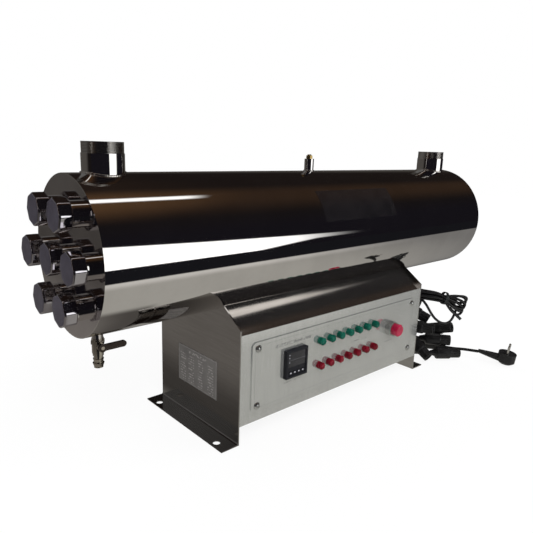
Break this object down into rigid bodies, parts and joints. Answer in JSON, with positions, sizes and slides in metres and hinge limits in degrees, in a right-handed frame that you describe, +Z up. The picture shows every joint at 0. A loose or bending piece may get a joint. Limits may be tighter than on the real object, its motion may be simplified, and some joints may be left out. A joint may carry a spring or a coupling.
{
  "type": "uv clarifier",
  "caption": "Horizontal polished steel UV water clarifier: lamp chamber with octagonal gland nuts, top ports and drain tap, lying on a control cabinet with timer, lamps, button and mains lead.",
  "frame": {"origin": "centre of the four foot holes, at floor level", "axes": "+X along the chamber from the lamp end to the closed end, +Y from the instrument side to the back, +Z up"},
  "size_m": [0.941, 0.3716, 0.4525],
  "materials": {
    "polished_steel": "mirror-polished stainless steel",
    "lamp_end_steel": "mirror-polished stainless steel plate",
    "nut_metal": "polished dark metal, satin face",
    "brass": "turned brass",
    "plated_brass": "nickel-plated brass",
    "seal_rubber": "soft seal rubber",
    "quartz": "clear fused quartz",
    "lamp_glass": "lamp glass with a ceramic base",
    "cabinet_steel": "fine-ground stainless sheet",
    "panel_steel": "semi-gloss stainless plate",
    "screw_steel": "bright plated steel",
    "timer_plastic": "black moulded plastic",
    "timer_window": "smoked window",
    "green_lens": "translucent green plastic",
    "red_lens": "translucent red plastic",
    "button_lens": "translucent pink-red plastic",
    "inner_plastic": "moulded plastic",
    "ballast_metal": "aluminium case",
    "label_film": "printed metal-look film",
    "black_rubber": "black moulded rubber",
    "cable_jacket": "black cable jacket",
    "tie_plastic": "dark plastic strap",
    "pin_metal": "nickel-plated pin"
  },
  "bodies": {
    "chassis": {"chamber_shell": "polished_steel", "far_end_cap": "polished_steel", "inlet_nipple": "polished_steel", "outlet_nipple": "polished_steel", "vent_boss": "polished_steel", "drain_stub": "polished_steel", "sleeve_sockets": "polished_steel", "lamp_end_plate": "lamp_end_steel", "gland_nuts": "nut_metal", "drain_valve_body": "plated_brass", "hose_tail": "plated_brass", "sleeve_seals": "seal_rubber", "quartz_sleeves": "quartz", "uv_lamps": "lamp_glass", "left_end_plate": "cabinet_steel", "right_end_plate": "cabinet_steel", "front_fascia": "cabinet_steel", "rear_panel": "cabinet_steel", "front_cover": "cabinet_steel", "rear_cover": "cabinet_steel", "bottom_tray": "cabinet_steel", "sleeve_baffle": "cabinet_steel", "instrument_plate": "panel_steel", "plate_screws": "screw_steel", "button_bezel": "screw_steel", "button_nut": "screw_steel", "timer_case": "timer_plastic", "timer_display": "timer_window", "green_lamps": "green_lens", "red_lamps": "red_lens", "contact_block": "inner_plastic", "terminal_block": "inner_plastic", "ballasts": "ballast_metal", "rating_label": "label_film", "lead_bushing": "black_rubber", "mains_gland": "black_rubber", "lamp_connectors": "black_rubber", "mains_plug": "black_rubber", "lamp_lead_1": "cable_jacket", "lamp_lead_2": "cable_jacket", "lamp_lead_3": "cable_jacket", "lamp_lead_4": "cable_jacket", "lamp_lead_5": "cable_jacket", "lamp_lead_6": "cable_jacket", "lamp_lead_7": "cable_jacket", "lead_hank": "cable_jacket", "mains_lead": "cable_jacket", "mains_lead_entry": "cable_jacket", "mains_coil": "cable_jacket", "lead_tie": "tie_plastic", "coil_tie": "tie_plastic", "plug_pins": "pin_metal"},
    "drain_lever_body": {"drain_ball": "plated_brass", "drain_lever": "plated_brass"},
    "bleed_plug_body": {"bleed_plug": "brass"},
    "button_body": {"button_cap": "button_lens"},
    "key_1_body": {"timer_key_1": "timer_plastic"},
    "key_2_body": {"timer_key_2": "timer_plastic"},
    "key_3_body": {"timer_key_3": "timer_plastic"},
    "key_4_body": {"timer_key_4": "timer_plastic"}
  },
  "joints": [
    {"name": "drain_valve_turn", "type": "hinge", "parent": "chassis", "child": "drain_lever_body", "pos_m": [-0.41, -0.0125, 0.1715], "axis": [0, 1, 0], "range_deg": [0, 90]},
    {"name": "bleed_plug_turn", "type": "hinge", "parent": "chassis", "child": "bleed_plug_body", "pos_m": [0.004, 0, 0.43], "axis": [0, 0, 1], "range_deg": [0, 360]},
    {"name": "button_press", "type": "slide", "parent": "chassis", "child": "button_body", "axis": [0, 1, 0], "range_m": [0, 0.004], "stiffness_N_per_m": 700, "springref_m": -0.002},
    {"name": "key_1_press", "type": "slide", "parent": "chassis", "child": "key_1_body", "axis": [0, 1, 0], "range_m": [0, 0.0008], "stiffness_N_per_m": 600, "springref_m": -0.0008},
    {"name": "key_2_press", "type": "slide", "parent": "chassis", "child": "key_2_body", "axis": [0, 1, 0], "range_m": [0, 0.0008], "stiffness_N_per_m": 600, "springref_m": -0.0008},
    {"name": "key_3_press", "type": "slide", "parent": "chassis", "child": "key_3_body", "axis": [0, 1, 0], "range_m": [0, 0.0008], "stiffness_N_per_m": 600, "springref_m": -0.0008},
    {"name": "key_4_press", "type": "slide", "parent": "chassis", "child": "key_4_body", "axis": [0, 1, 0], "range_m": [0, 0.0008], "stiffness_N_per_m": 600, "springref_m": -0.0008}
  ]
}
